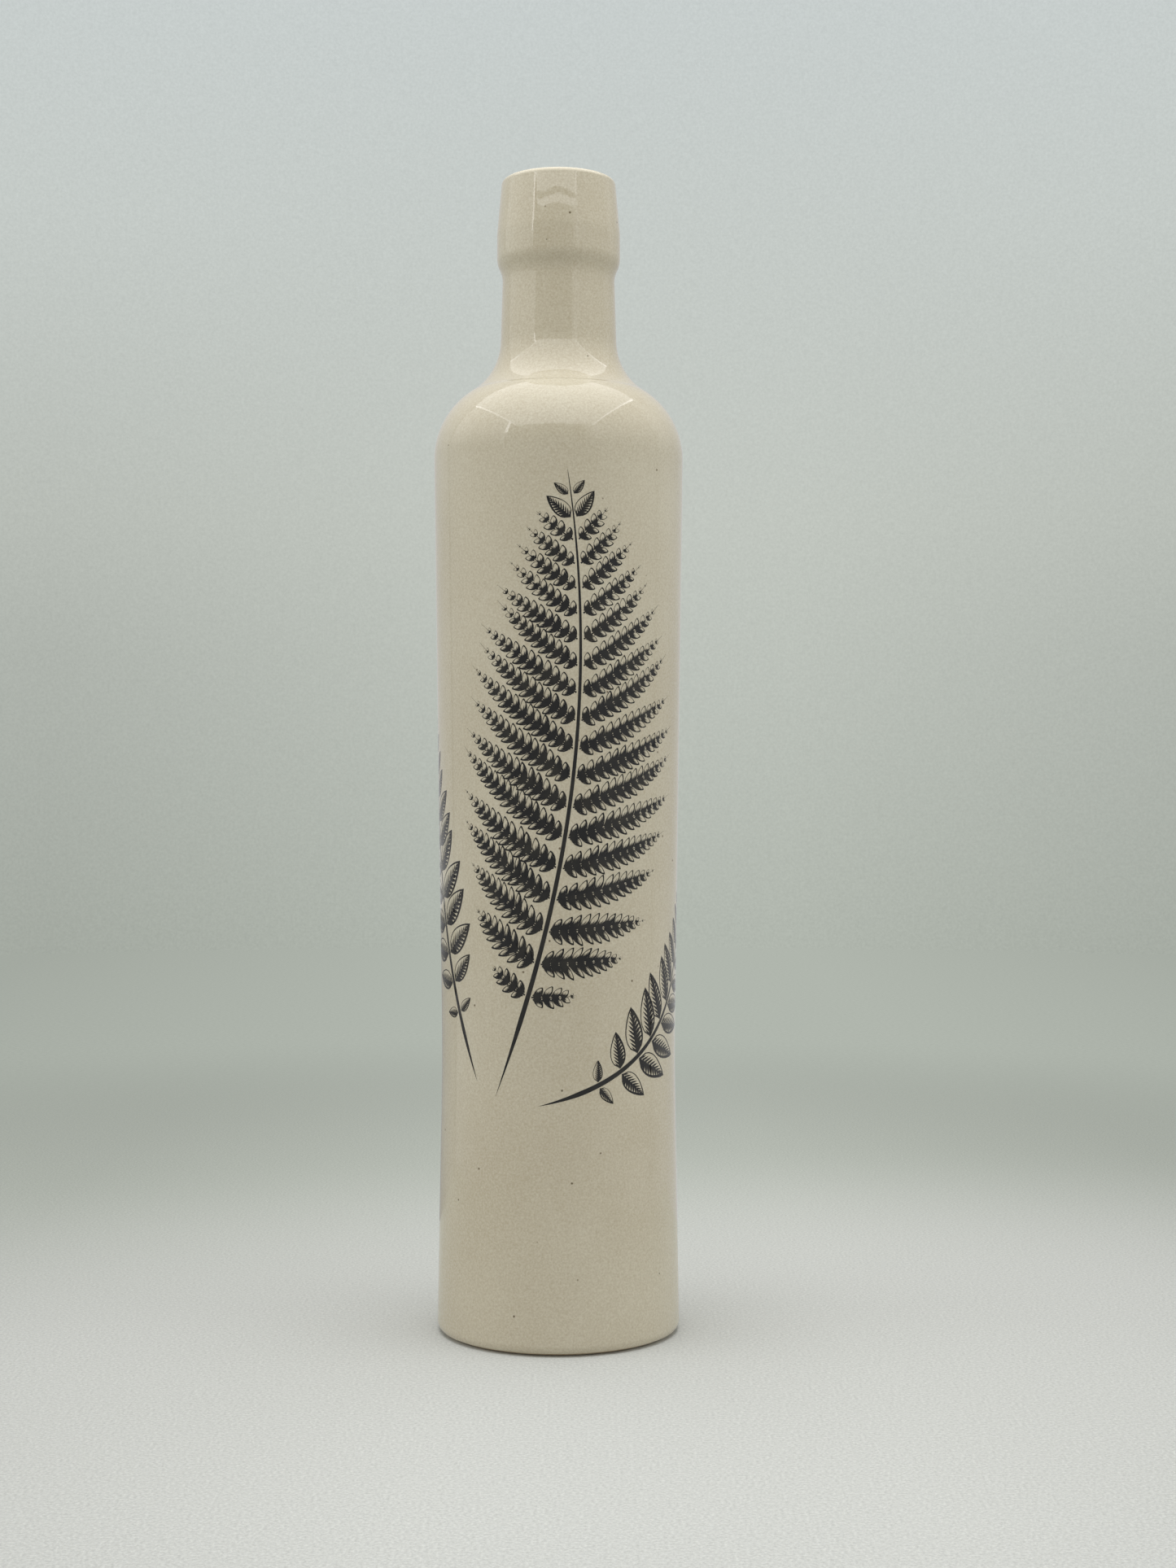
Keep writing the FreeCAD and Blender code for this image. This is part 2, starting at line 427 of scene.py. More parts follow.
# Shares of a leaflet's or a blade's length and width, for its edges and for the strokes that shade it.
leaflet_edge_shares = (0, 0.3, 0.55, 0.75, 0.9, 0.97, 1)
leaflet_foot_share = 0.36
leaflet_swell_share = 0.14
leaflet_straight_share = 0.3
stroke_middle_shares = (0.45, 0.55)
stroke_full_share = 0.42
stroke_slant_share = 0.35
stroke_ragged_share = 0.05
stroke_foot_shares = (-0.04, 0.42)
stroke_inset_share = 0.9
edge_foot_share = 0.6
whole_blade_points = 10
whole_blade_rib_share = 0.09
whole_blade_edge_shares = (0.05, 0.1)
veined_share = 0.92
vein_slant_share = 0.15
lit_vein_shares = (0.66, 0.6)
shaded_vein_shares = (0.94, 0.95)

# What a share is on an unshaded leaflet, and what full shade adds to it.
lit_edge_shares = (0.05, 0.03)
shaded_edge_shares = (0.09, 0.05)
stroke_reach_shares = (0.3, 0.42)
stroke_width_shares = (0.9, 0.35)

ink_hex = "#1b1b1b"
ink_pale_hex = "#312f29"
ink_cloud_size = 0.007
full_ink_below = 0.42
thin_ink_above = 0.78

shades = random.Random(12)


def along(start, direction, distance):
    return start[0] + direction[0] * distance, start[1] + direction[1] * distance


def leaning(direction, angle):
    cosine, sine = math.cos(angle), math.sin(angle)
    return direction[0] * cosine - direction[1] * sine, direction[0] * sine + direction[1] * cosine


def ribbon(drawing, points, left, right):
    """Ink between two offsets from a line of flat places, one face for each run."""
    places, faces = drawing
    first = len(places)
    last = len(points) - 1
    for i, point in enumerate(points):
        before, after = points[max(i - 1, 0)], points[min(i + 1, last)]
        ahead = unit(after[0] - before[0], after[1] - before[1])
        for offset in (left[i], -right[i]):
            places.append((point[0] - ahead[1] * offset, point[1] + ahead[0] * offset))
    for i in range(last):
        a = first + 2 * i
        faces.append((a, a + 1, a + 3, a + 2))


def stroke(drawing, start, end, width):
    """An engraved stroke that thins from its foot and ends in a point."""
    near, far = stroke_middle_shares
    middle = [far * e + near * s for s, e in zip(start, end)]
    half = [width / 2, width * stroke_full_share, 0]
    ribbon(drawing, [start, middle, end], half, half)


def outline(drawing, half_width, shares, lit_weight, shaded_weight):
    """The two edges of a motif one unit long. The edge on its right is the shaded one."""
    for sign, weight in ((1, lit_weight), (-1, shaded_weight)):
        edge = [(s, sign * half_width(s)) for s in shares]
        inwards = [weight * min(1, edge_foot_share + s) for s in shares]
        none = [0.0] * len(shares)
        ribbon(drawing, edge, *((none, inwards) if sign > 0 else (inwards, none)))


def motif(name, drawing):
    mesh = bpy.data.meshes.new(name)
    mesh.from_pydata([(*place, 0) for place in drawing[0]], [], drawing[1])
    piece = bpy.data.objects.new(name, mesh)
    motifs.objects.link(piece)


def darkened(shares, shade):
    return shares[0] + shares[1] * shade


def leaflet(name, shade, strokes=5):
    """A blunt leaflet, one unit long and wide. Strokes fan out of its foot, longer on the shaded side."""
    drawing = ([], [])

    def half_width(share):
        swell = leaflet_swell_share * math.sin(math.pi * min(share, 0.5))
        taper = max(0, share - leaflet_straight_share) / (1 - leaflet_straight_share)
        return (leaflet_foot_share + swell) * max(0, 1 - taper ** 1.8) ** 0.7

    lit_weight, shaded_weight = darkened(lit_edge_shares, shade), darkened(shaded_edge_shares, shade)
    outline(drawing, half_width, leaflet_edge_shares, lit_weight, shaded_weight)
    for k in range(strokes):
        aside = 2 * (k + 0.5) / strokes - 1
        reach = darkened(stroke_reach_shares, shade) * (1 - stroke_slant_share * aside)
        reach += stroke_ragged_share * (-1) ** k
        foot = (stroke_foot_shares[0], aside * stroke_foot_shares[1])
        tip = (reach, aside * half_width(reach) * stroke_inset_share)
        stroke(drawing, foot, tip, darkened(stroke_width_shares, shade) / strokes)
    motif(name, drawing)


def whole_blade(name, veins=10):
    """A whole blade, one unit long and wide. Veins slant from its rib, and nearly fill its shaded half."""
    drawing = ([], [])

    def half_width(share):
        return 0.5 * math.sin(math.pi * share ** 0.72) ** 0.8 if 0 < share < 1 else 0.0

    edge_shares = [k / (whole_blade_points - 1) for k in range(whole_blade_points)]
    outline(drawing, half_width, edge_shares, *whole_blade_edge_shares)
    stroke(drawing, (0, 0), (1, 0), whole_blade_rib_share)
    for k in range(veins):
        share = (k + 0.2) / veins * veined_share
        slant = min(1, share + vein_slant_share)
        for sign, (reach, width) in ((1, lit_vein_shares), (-1, shaded_vein_shares)):
            stroke(drawing, (share, 0), (slant, sign * half_width(slant) * reach), width / veins)
    motif(name, drawing)


motifs = bpy.data.collections.new("motifs")
leaflet("0_pale_leaflet", 0.1)
leaflet("1_middle_leaflet", 0.55)
leaflet("2_dark_leaflet", 1.0)
whole_blade("3_whole_blade")
darkest_leaflet, whole = 2, 3
plan_fields = (("heading", "FLOAT"), ("size", "FLOAT_VECTOR"), ("motif", "INT"), ("half_width", "FLOAT"))


def engraved_print():
    """Nodes that draw a frond's plan in motifs and ribbons, and lay them on the glaze round the wall."""
    tree = bpy.data.node_groups.new("engraved_print", "GeometryNodeTree")
    for name, kind in (
        ("Plan", "Geometry"), ("Motifs", "Collection"), ("Jitter", "Float"), ("Seed", "Int"),
        ("Coat", "Object"), ("Print Radius", "Float"), ("Ink Relief", "Float"), ("Ink", "Material"),
    ):
        tree.interface.new_socket(name, in_out="INPUT", socket_type="NodeSocket" + kind)
    tree.interface.new_socket("Print", in_out="OUTPUT", socket_type="NodeSocketGeometry")
    given = add(tree, "NodeGroupInput").outputs
    heading, size, chosen, half = [
        add(tree, "InputNamedAttribute", {"data_type": kind}, Name=name).outputs["Attribute"]
        for name, kind in plan_fields
    ]
    length = add(tree, "SeparateXYZ", Vector=size).outputs["X"]
    grown = add(tree, "Math", {"operation": "GREATER_THAN"}, _0=length, _1=0.0).outputs[0]
    chance = add(tree, "RandomValue", Min_001=-1.0, Max_001=1.0, Seed=given["Seed"]).outputs["Value"]
    drift = add(tree, "Math", {"operation": "MULTIPLY_ADD"}, _0=chance, _1=given["Jitter"], _2=heading)
    kinds = add(tree, "CollectionInfo", Collection=given["Motifs"], Separate_Children=True)
    leaves = add(
        tree, "InstanceOnPoints", Points=given["Plan"], Selection=grown,
        Instance=kinds.outputs[0], Pick_Instance=True, Instance_Index=chosen,
        Rotation=add(tree, "CombineXYZ", Z=drift.outputs[0]).outputs[0], Scale=size,
    )
    runs = add(tree, "MeshToCurve", Mesh=given["Plan"]).outputs[0]
    lines = add(tree, "SetCurveNormal", {"mode": "Z_UP"}, Curve=runs)
    flat = add(tree, "CurvePrimitiveLine", Start=(-1.0, 0.0, 0.0), End=(1.0, 0.0, 0.0))
    ribs = add(tree, "CurveToMesh", Curve=lines.outputs[0], Profile_Curve=flat.outputs[0], Scale=half)
    both = add(tree, "JoinGeometry", Geometry=leaves.outputs[0])
    tree.links.new(ribs.outputs[0], both.inputs[0])
    drawn = add(tree, "RealizeInstances", Geometry=both.outputs[0])
    facing_up = add(tree, "SeparateXYZ", Vector=add(tree, "InputNormal").outputs[0]).outputs["Z"]
    upside_down = add(tree, "Math", {"operation": "LESS_THAN"}, _0=facing_up, _1=0.0).outputs[0]
    facing = add(tree, "FlipFaces", Mesh=drawn.outputs[0], Selection=upside_down)
    place = add(tree, "SeparateXYZ", Vector=add(tree, "InputPosition").outputs[0]).outputs
    angle = add(tree, "Math", {"operation": "DIVIDE"}, _0=place["X"], _1=given["Print Radius"]).outputs[0]
    sine = add(tree, "Math", {"operation": "SINE"}, _0=angle).outputs[0]
    cosine = add(tree, "Math", {"operation": "COSINE"}, _0=angle).outputs[0]
    frontwards = add(tree, "Math", {"operation": "SUBTRACT"}, _0=0.0, _1=cosine).outputs[0]
    outwards = add(tree, "CombineXYZ", X=sine, Y=frontwards).outputs[0]
    inwards = add(tree, "VectorMath", {"operation": "SCALE"}, Vector=outwards, Scale=-1.0).outputs[0]
    level_up = add(tree, "CombineXYZ", Z=place["Y"]).outputs[0]
    far_out = add(tree, "VectorMath", {"operation": "ADD"}, _0=outwards, _1=level_up).outputs[0]
    coat = add(tree, "ObjectInfo", Object=given["Coat"]).outputs["Geometry"]
    wall_hit = add(
        tree, "Raycast",
        Target_Geometry=coat, Source_Position=far_out, Ray_Direction=inwards, Ray_Length=1.0,
    ).outputs["Hit Position"]
    relief = add(
        tree, "VectorMath", {"operation": "SCALE"}, Vector=outwards, Scale=given["Ink Relief"]
    ).outputs[0]
    raised = add(tree, "VectorMath", {"operation": "ADD"}, _0=wall_hit, _1=relief).outputs[0]
    laid = add(tree, "SetPosition", Geometry=facing.outputs[0], Position=raised)
    smooth = add(tree, "SetShadeSmooth", Geometry=laid.outputs[0])
    inked = add(tree, "SetMaterial", Geometry=smooth.outputs[0], Material=given["Ink"])
    add(tree, "NodeGroupOutput", Print=inked.outputs[0])
    return tree


def on_arc(root, tip, bow, share):
    """Place and unit direction at a share of a shallow arc that bows to its left, and its chord's length."""
    chord = (tip[0] - root[0], tip[1] - root[1])
    length = math.hypot(*chord)
    left = (-chord[1] / length, chord[0] / length)
    rise = 4 * bow * share * (1 - share)
    slope = 4 * bow * (1 - 2 * share) / length
    place = (root[0] + chord[0] * share + left[0] * rise, root[1] + chord[1] * share + left[1] * rise)
    return place, unit(chord[0] / length + left[0] * slope, chord[1] / length + left[1] * slope), length


def add_line(plan, line, half_widths):
    first = len(plan)
    for k, (place, half) in enumerate(zip(line, half_widths)):
        plan.append((place, 0.0, (0.0, 0.0, 0.0), 0, half, (first + k - 1, first + k) if k else None))


def add_leaf(plan, place, heading, length, width, kind):
    """A motif with its foot at a place. It is turned over where its shaded edge would face the light."""
    lit = heading[0] * light_from[0] + heading[1] * light_from[1] > 0
    size = (length, width if lit else -width, 1.0)
    plan.append((place, math.atan2(heading[1], heading[0]), size, kind, 0.0, None))


def divided_blade(plan, start, direction, length, width, bend, depth):
    """A rib with leaflets in pairs that lean to its tip, darker near the stalk and on the lower side."""
    count = max(fewest_leaflets, round(length / leaflet_spacing))
    rib = [start]
    for k in range(count):
        rib.append(along(rib[-1], leaning(direction, bend * k / count), length / count))
    add_line(plan, rib, [rib_width / 2 * (1 - rib_taper_share * k / count) for k in range(count + 1)])
    for k in range(count):
        share = (k + 0.5) / count
        place = [(a + b) / 2 for a, b in zip(rib[k], rib[k + 1])]
        ahead = leaning(direction, bend * share)
        taper = math.sin(math.pi * (blade_foot_share + (1 - blade_foot_share) * share) ** 0.8)
        for sign in (1, -1):
            lean = sign * math.radians(leaflet_lean - leaflet_lean_fall * share)
            heading = leaning(ahead, lean)
            reach = width / 2 * taper / abs(math.sin(lean))
            tone = stalk_shade * depth - tip_light * share + (under_shade if heading[1] < 0 else 0)
            tone += shades.uniform(-shade_jitter, shade_jitter)
            if reach > rib_width:
                breadth = length / count * abs(math.sin(lean)) * leaflet_overlap_share
                breadth = min(breadth, reach * leaflet_breadth_share)
                add_leaf(plan, place, heading, reach, breadth, max(0, min(darkest_leaflet, round(tone))))


def frond(name, shares, pairs, divided):
    """A frond as a sheet of ink on the wall: a tapered stalk, and pairs of blades that lean to the tip."""
    root, tip = [(aside * print_height, print_foot_height + up * print_height) for aside, up in shares[:2]]
    bow, longest = [share * print_height for share in shares[2:]]
    plan = []
    steps = math.ceil(math.dist(root, tip) / stem_step)
    stem = [on_arc(root, tip, bow, k / steps)[0] for k in range(steps + 1)]
    swell = [min(1, k / steps / stalk_swell_share) * math.sqrt(1 - k / steps) for k in range(steps + 1)]
    add_line(plan, stem, [stalk_width / 2 * s for s in swell])
    leafy_share = 1 - bare_stalk_share
    peak = math.log(0.5) / math.log(longest_blade_share)
    for k in range(pairs):
        step = (k + 0.5) / pairs * (1 - bare_tip_share)
        share = bare_stalk_share + leafy_share * step * (1 + crowding_share * (1 - step))
        place, ahead, chord = on_arc(root, tip, bow, share)
        spacing = chord * leafy_share * (1 + crowding_share * (1 - 2 * step)) / pairs
        lean = low_lean + (high_lean - low_lean) * step
        for sign in (1, -1):
            length = longest * math.sin(math.pi * step ** peak) * shades.uniform(*blade_length_shares)
            width = min(spacing * math.sin(lean), length / 2)
            bend = sign * math.radians(shades.uniform(*blade_bends))
            heading = leaning(ahead, sign * (lean + math.radians(shades.uniform(*blade_lifts))))
            start = along(place, heading, stalk_width / 2 + stalk_gap)
            if divided and length > divided_blade_length:
                divided_blade(plan, start, heading, length, width, bend, 1 - paling_share * step)
            else:
                add_leaf(plan, start, leaning(heading, bend / 2), length, width, whole)
    places, headings, sizes, kinds, halves, runs = zip(*plan)
    mesh = bpy.data.meshes.new(name)
    mesh.from_pydata([(*place, 0) for place in places], [run for run in runs if run], [])
    spread_sizes = [value for size in sizes for value in size]
    for (label, kind), values in zip(plan_fields, (headings, spread_sizes, kinds, halves)):
        field = "vector" if kind == "FLOAT_VECTOR" else "value"
        mesh.attributes.new(label, kind, "POINT").data.foreach_set(field, values)
    piece = bpy.data.objects.new(name, mesh)
    bpy.context.scene.collection.objects.link(piece)
    nodes = piece.modifiers.new("engraved_print", "NODES")
    nodes.node_group = print_nodes
    sockets = print_nodes.interface.items_tree
    inputs = {socket.name: socket.identifier for socket in sockets if socket.in_out == "INPUT"}
    for label, value in (
        ("Motifs", motifs), ("Jitter", leaflet_jitter), ("Seed", pairs), ("Coat", outer_coat),
        ("Print Radius", print_radius), ("Ink Relief", ink_relief), ("Ink", ink),
    ):
        nodes[inputs[label]] = value
    drawn = piece.evaluated_get(bpy.context.evaluated_depsgraph_get())
    piece.data = bpy.data.meshes.new_from_object(drawn)
    piece.modifiers.clear()
    bpy.data.meshes.remove(mesh)
    piece.data.name = name
    return piece


# Ceramic printing ink, mostly black iron and cobalt pigment: near-black with a slate cast, a little thin in
# places, and under the same glassy gloss as the glaze that it sank into.
ink, tree = new_material("fired_slate_ink")
place = add(tree, "TexCoord").outputs["Object"]
cover = add(tree, "TexNoise", Vector=place, Scale=1 / ink_cloud_size, Detail=4.0)
weak = add(tree, "MapRange", Value=cover.outputs["Fac"], _1=full_ink_below, _2=thin_ink_above)
tone = add(
    tree, "Mix", {"data_type": "RGBA"}, _0=weak.outputs[0], _6=linear(ink_hex), _7=linear(ink_pale_hex)
)
shader = add(
    tree, "BsdfPrincipled",
    Base_Color=tone.outputs[2], Normal=glaze_waves(tree, place), Roughness=0.05, IOR=1.42,
)
add(tree, "OutputMaterial", Surface=shader.outputs["BSDF"])
print_nodes = engraved_print()
for name, shares, pairs, divided in (
    ("tall_fern", tall_frond_shares, tall_frond_pairs, True),
    ("left_fern", left_frond_shares, left_frond_pairs, False),
    ("right_fern", right_frond_shares, right_frond_pairs, False),
):
    piece = frond(name, shares, pairs, divided)
    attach(piece, "root")
    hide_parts("transfer_print")
for plate in list(motifs.objects):
    bpy.data.objects.remove(plate)
bpy.data.collections.remove(motifs)

# Studio: a white light tent about 0.6 m wide, open at its left front corner and across the front up to a
# bowed rail. Its walls are cards that only the gloss sees, the floor is a pale sweep of paper, and the far
# backdrop is a ring that only the camera sees.
tent_left = -0.345
tent_right = 0.27
tent_front = -0.394
tent_back = 0.165
tent_foot = -0.1
tent_height = 0.62
back_fold = 0.12
opening_right = 0.205
opening_height = 0.5225
rail_height = 0.5275
rail_top = 0.5315
rail_bow = 0.45
rail_steps = 24
gap_back = -0.325
gap_line_width = 0.03
gap_line_foot = 0.45
front_line = -0.372
front_line_foot = 0.42
front_line_top = 0.57
back_line = 0.03
line_width = 0.006
seam_width = 0.014
proud = 0.0015
fade_foot = 0.33
fade_top = 0.42
floor_half = 2
floor_gap = 0.00005
# Painted light and shade on the floor: its colour is lighter near a place in front of the vase, darker
# further off, and darker to either side.
floor_painted_lit_hex = "#c8c9c5"
floor_painted_dim_hex = "#b3b7af"
floor_painted_light_place = (0.1, -0.35, 0.0)
floor_painted_light_near = 0.4
floor_painted_light_far = 0.7
floor_side_centre = 0.03
floor_side_near = 0.06
floor_side_far = 0.24
floor_painted_side_shade = 0.14
paper_grain = 0.0009
paper_grain_shade = 0.36
sweep_grain_coarser = 3
# The far floor and the backdrop glow with painted light and shade: darker low down and towards the sides,
# lighter high up.
sweep_near = 0.35
sweep_far = 0.8
sweep_painted_low_hex = "#b0b6ad"
sweep_side_centre = 0.07
sweep_side_near = 0.15
sweep_side_far = 0.6
sweep_painted_side_shade = 0.15
sweep_side_low = 0.3
sweep_side_high = 0.75
backdrop_radius = 1.6
backdrop_height = 3.2
backdrop_sides = 64
backdrop_mid_share = 0.4
backdrop_high = 1.1
backdrop_painted_mid_hex = "#c1c6bf"
backdrop_painted_high_hex = "#c9d0d0"


def surface(name, places, faces, material, hidden_from=()):
    """A surface of the studio, and the kinds of ray that don't see it."""
    mesh = bpy.data.meshes.new(name)
    mesh.from_pydata(places, [], faces)
    mesh.materials.append(material)
    piece = bpy.data.objects.new(name, mesh)
    bpy.context.scene.collection.objects.link(piece)
    for ray in hidden_from:
        setattr(piece, "visible_" + ray, False)
    return piece


def card(name, rows, glow, low_glow=None):
    """A glowing card between two rows of points, which only the gloss sees. Its glow may fade by height."""
    low, high = rows
    last = len(low) - 1
    faces = [(k, k + 1, k + 2 + last, k + 1 + last) for k in range(last)]
    material, tree = new_material(name)
    if low_glow is not None:
        height = add(tree, "SeparateXYZ", Vector=add(tree, "TexCoord").outputs["Object"]).outputs["Z"]
        fade = add(tree, "MapRange", Value=height, _1=fade_foot, _2=fade_top, _3=low_glow, _4=glow)
        glow = fade.outputs[0]
    light = add(tree, "Emission", Strength=glow)
    add(tree, "OutputMaterial", Surface=light.outputs[0])
    rays = ("camera", "diffuse", "transmission", "volume_scatter", "shadow")
    piece = surface(name, [*low, *high], faces, material, hidden_from=rays)


def side(x, start, end, low, high):
    """The rows of a card along a side wall."""
    return [[(x, start, height), (x, end, height)] for height in (low, high)]


def back(start, end, low, high):
    """The rows of a card along the back wall."""
    return [[(start, tent_back, height), (end, tent_back, height)] for height in (low, high)]


def bowed(x, height):
    """A height at the front, which rises to either side as the rail does."""
    return height + rail_bow * x ** 2


def across(start, end, height):
    """A bowed row across the front."""
    places = [start + (end - start) * k / rail_steps for k in range(rail_steps + 1)]
    return [(x, tent_front, bowed(x, height)) for x in places]


def front(start, end, low, high):
    """The rows of a card across the front."""
    return [across(start, end, height) for height in (low, high)]


def overhead(start, end, drop=0):
    """The rows of a strip under the ceiling, which rises from the rail to the back wall."""
    near = [(x, y, z - drop) for x, y, z in across(start, end, rail_top)]
    return [near, [(x, tent_back, tent_height - drop) for x, _, _ in near]]


card("left_card", side(tent_left, tent_front, tent_back, 0, tent_height), 1.08, low_glow=0.58)
card("right_card", side(tent_right, tent_front, tent_back, 0, tent_height), 0.9, low_glow=0.68)
card("back_card", back(tent_left, tent_right, back_fold, tent_height), 0.6)
card("low_left_back_card", back(tent_left, 0, 0, back_fold), 0.32)
card("low_right_back_card", back(0, tent_right, 0, back_fold), 0.6)
card("ceiling_card", overhead(tent_left, tent_right), 1.85)
card("front_rail", front(tent_left, tent_right, rail_height, rail_top), 0.0)
card("front_edge", front(tent_left, tent_right, opening_height, rail_height), 2.1)
card("dark_opening", front(tent_left, opening_right, tent_foot, opening_height), 0.15, low_glow=0.52)
card("front_return", front(opening_right, tent_right, tent_foot, opening_height), 0.9, low_glow=0.55)

# The gap, the lines and the seams lie just inside the walls.
near_left, near_right = tent_left + proud, tent_right - proud
front_line_back = front_line + line_width
gap_top, gap_line_top = bowed(tent_left, opening_height), bowed(tent_left, rail_top)
card("left_gap", side(near_left, tent_front, gap_back, tent_foot, gap_top), 0.15, low_glow=0.52)
card("gap_line", side(near_left, gap_back, gap_back + gap_line_width, gap_line_foot, gap_line_top), 4.5)
card("right_corner", side(near_right, front_line, front_line_back, front_line_foot, front_line_top), 4.5)
card("left_back_seam", side(near_left, tent_back - 2 * line_width, tent_back, 0, tent_height), 0.1)
card("right_back_seam", side(near_right, back_line, back_line + line_width, 0, tent_height), 0.1)
for name, edge in (("left_seam", tent_left), ("right_seam", tent_right)):
    card(name, overhead(edge, edge - math.copysign(seam_width, edge), proud), 4.0)


# Matt paper with no gloss, whose fine grain gives it a soft tooth. The real grain is finer than a pixel, so
# it is drawn at 0.9 mm, and three times as coarse on the far sweep.
def grain_shade(tree, place, coarser=1):
    """The grain of the paper, a little darker and lighter than its tone."""
    grain = add(tree, "TexNoise", Vector=place, Scale=1 / (paper_grain * coarser), Detail=2.0, Roughness=0.7)
    depth = paper_grain_shade / coarser
    shade = add(tree, "MapRange", {"clamp": False}, Value=grain.outputs["Fac"], _3=1 - depth, _4=1 + depth)
    return shade.outputs[0]


def side_shade(tree, x, centre, near, far, depth):
    """Painted shade that darkens the paper from a near to a far distance on either side of a centre."""
    aside = add(tree, "Math", {"operation": "SUBTRACT"}, _0=x, _1=centre)
    aside = add(tree, "Math", {"operation": "ABSOLUTE"}, _0=aside.outputs[0])
    return add(tree, "MapRange", Value=aside.outputs[0], _1=near, _2=far, _3=1.0, _4=1 - depth).outputs[0]


def painted_sweep_shade(tree, place):
    """The painted shade that darkens the sweep towards its sides, low down, under the grain of its paper."""
    axes = add(tree, "SeparateXYZ", Vector=place).outputs
    sides = side_shade(
        tree, axes["X"], sweep_side_centre, sweep_side_near, sweep_side_far, sweep_painted_side_shade
    )
    low_down = add(tree, "MapRange", Value=axes["Z"], _1=sweep_side_low, _2=sweep_side_high)
    kept = add(tree, "Mix", {"data_type": "FLOAT"}, _0=low_down.outputs[0], _2=sides, _3=1.0)
    grain = grain_shade(tree, place, sweep_grain_coarser)
    return add(tree, "Math", {"operation": "MULTIPLY"}, _0=kept.outputs[0], _1=grain).outputs[0]


paper, tree = new_material("pale_paper_floor")
place = add(tree, "TexCoord").outputs["Object"]
# A painted pool of light: the paper's colour goes from lit to dim with the distance from a place in front of
# the vase.
offset = add(tree, "VectorMath", {"operation": "DISTANCE"}, _0=place, _1=floor_painted_light_place)
painted_light_falloff = add(
    tree, "MapRange", {"interpolation_type": "SMOOTHSTEP"},
    Value=offset.outputs["Value"], _1=floor_painted_light_near, _2=floor_painted_light_far,
)
tone = add(
    tree, "Mix", {"data_type": "RGBA"},
    _0=painted_light_falloff.outputs[0], _6=linear(floor_painted_lit_hex), _7=linear(floor_painted_dim_hex),
)
# Painted shade darkens the floor towards either side, under the grain of its paper.
aside = add(tree, "SeparateXYZ", Vector=place).outputs["X"]
kept = side_shade(tree, aside, floor_side_centre, floor_side_near, floor_side_far, floor_painted_side_shade)
kept = add(tree, "Math", {"operation": "MULTIPLY"}, _0=kept, _1=grain_shade(tree, place))
shaded = add(tree, "VectorMath", {"operation": "SCALE"}, Vector=tone.outputs[2], Scale=kept.outputs[0])
matt = add(tree, "BsdfDiffuse", Color=shaded.outputs[0])
# Far off, the floor turns from lit matt paper into a glow of the sweep's painted tone, with its painted
# shade.
glow = add(tree, "Emission", Color=linear(sweep_painted_low_hex), Strength=painted_sweep_shade(tree, place))
radius = add(tree, "VectorMath", {"operation": "LENGTH"}, _0=place)
far = add(
    tree, "MapRange", {"interpolation_type": "SMOOTHSTEP"},
    Value=radius.outputs["Value"], _1=sweep_near, _2=sweep_far,
)
both = add(tree, "MixShader", _0=far.outputs[0], _1=matt.outputs[0], _2=glow.outputs[0])
add(tree, "OutputMaterial", Surface=both.outputs[0])
corners = [(x * floor_half, y * floor_half, -floor_gap) for x, y in ((-1, -1), (1, -1), (1, 1), (-1, 1))]
floor = surface("floor", corners, [(0, 1, 2, 3)], paper)

# The backdrop glows with painted light and shade: its colour rises from a darker tone low down to a lighter
# one high up, and darkens towards its sides low down.
sweep, tree = new_material("pale_backdrop")
place = add(tree, "TexCoord").outputs["Object"]
height = add(tree, "SeparateXYZ", Vector=place).outputs["Z"]
tones = add(tree, "ValToRGB", Fac=add(tree, "MapRange", Value=height, _1=0.0, _2=backdrop_high).outputs[0])
tones.color_ramp.elements[0].color = linear(sweep_painted_low_hex)
tones.color_ramp.elements[1].color = linear(backdrop_painted_high_hex)
tones.color_ramp.elements.new(backdrop_mid_share).color = linear(backdrop_painted_mid_hex)
glow = add(tree, "Emission", Color=tones.outputs[0], Strength=painted_sweep_shade(tree, place))
add(tree, "OutputMaterial", Surface=glow.outputs[0])
angles = [2 * math.pi * k / backdrop_sides for k in range(backdrop_sides)]
ring = [(backdrop_radius * math.cos(angle), backdrop_radius * math.sin(angle)) for angle in angles]
pairs = [(k, (k + 1) % backdrop_sides) for k in range(backdrop_sides)]
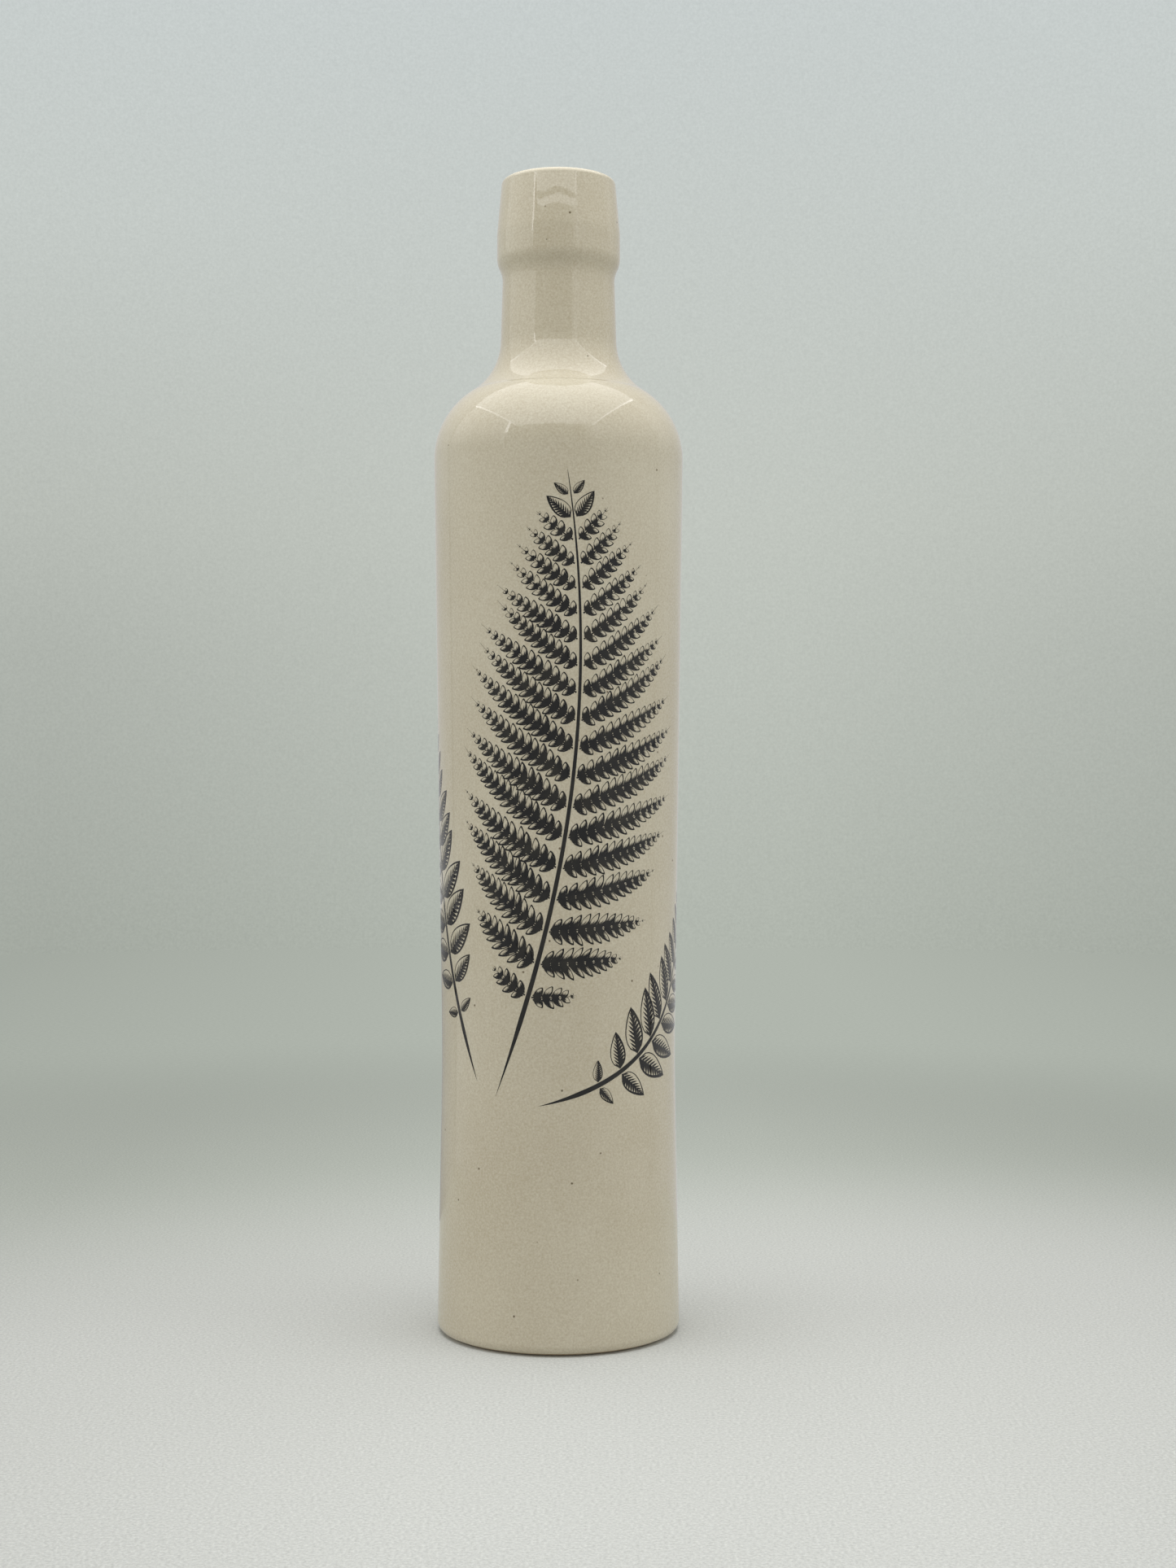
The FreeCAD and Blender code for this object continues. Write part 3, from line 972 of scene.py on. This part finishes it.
backdrop = surface(
    "backdrop", [(x, y, z) for z in (0, backdrop_height) for x, y in ring],
    [(a, b, b + backdrop_sides, a + backdrop_sides) for a, b in pairs],
    sweep, hidden_from=("diffuse", "glossy", "transmission", "volume_scatter", "shadow"),
)


def softbox(name, place, aim, width, power, tint="#ffffff"):
    """A soft square lamp whose own shape stays out of reflections, since the cards give those."""
    lamp = bpy.data.lights.new(name, "AREA")
    lamp.shape = "RECTANGLE"
    lamp.size, lamp.size_y, lamp.energy, lamp.color = width, width, power, linear(tint)[:3]
    holder = bpy.data.objects.new(name, lamp)
    holder.location = place
    direction = [b - a for a, b in zip(place, aim)]
    pan = math.atan2(direction[0], -direction[1])
    tilt = math.atan2(math.hypot(*direction[:2]), -direction[2])
    holder.rotation_euler = (tilt, 0, pan + math.pi)
    holder.visible_glossy = False
    holder.visible_camera = False
    bpy.context.scene.collection.objects.link(holder)


middle = (0, 0, 0.18)
softbox("top_lamp", place=(0, -0.05, 1.0), aim=(0, 0, 0.2), width=0.8, power=7.25)
softbox("left_lamp", place=(-0.9, -0.2, 0.45), aim=middle, width=0.7, power=2.25)
softbox("right_lamp", place=(0.9, -0.2, 0.45), aim=middle, width=0.7, power=2.1)
softbox("front_lamp", place=(0, -1.2, 0.22), aim=middle, width=0.7, power=0.95, tint="#ffe4d6")

world = bpy.data.worlds.new("tent_light")
world.use_nodes = True
world.node_tree.nodes.clear()
glow = add(world.node_tree, "Background", Color=linear("#f3f6f4"), Strength=0.45)
add(world.node_tree, "OutputWorld", Surface=glow.outputs[0])
bpy.context.scene.world = world
bpy.context.scene.view_settings.view_transform = "Standard"

# Camera: level, at about half the height of the vase and a little to its right, so near that the collar and
# the foot are seen from below and from above.
eye_aside = 0.0092
eye_distance = 0.687
eye_height = 0.1696
lens_mm = 33.63
film_mm = 24

camera = bpy.data.cameras.new("camera")
camera.sensor_fit = "VERTICAL"
camera.sensor_height = film_mm
camera.lens = lens_mm
holder = bpy.data.objects.new("camera", camera)
holder.location = (eye_aside, -eye_distance, eye_height)
holder.rotation_euler = (math.pi / 2, 0, 0)
bpy.context.scene.collection.objects.link(holder)
bpy.context.scene.camera = holder
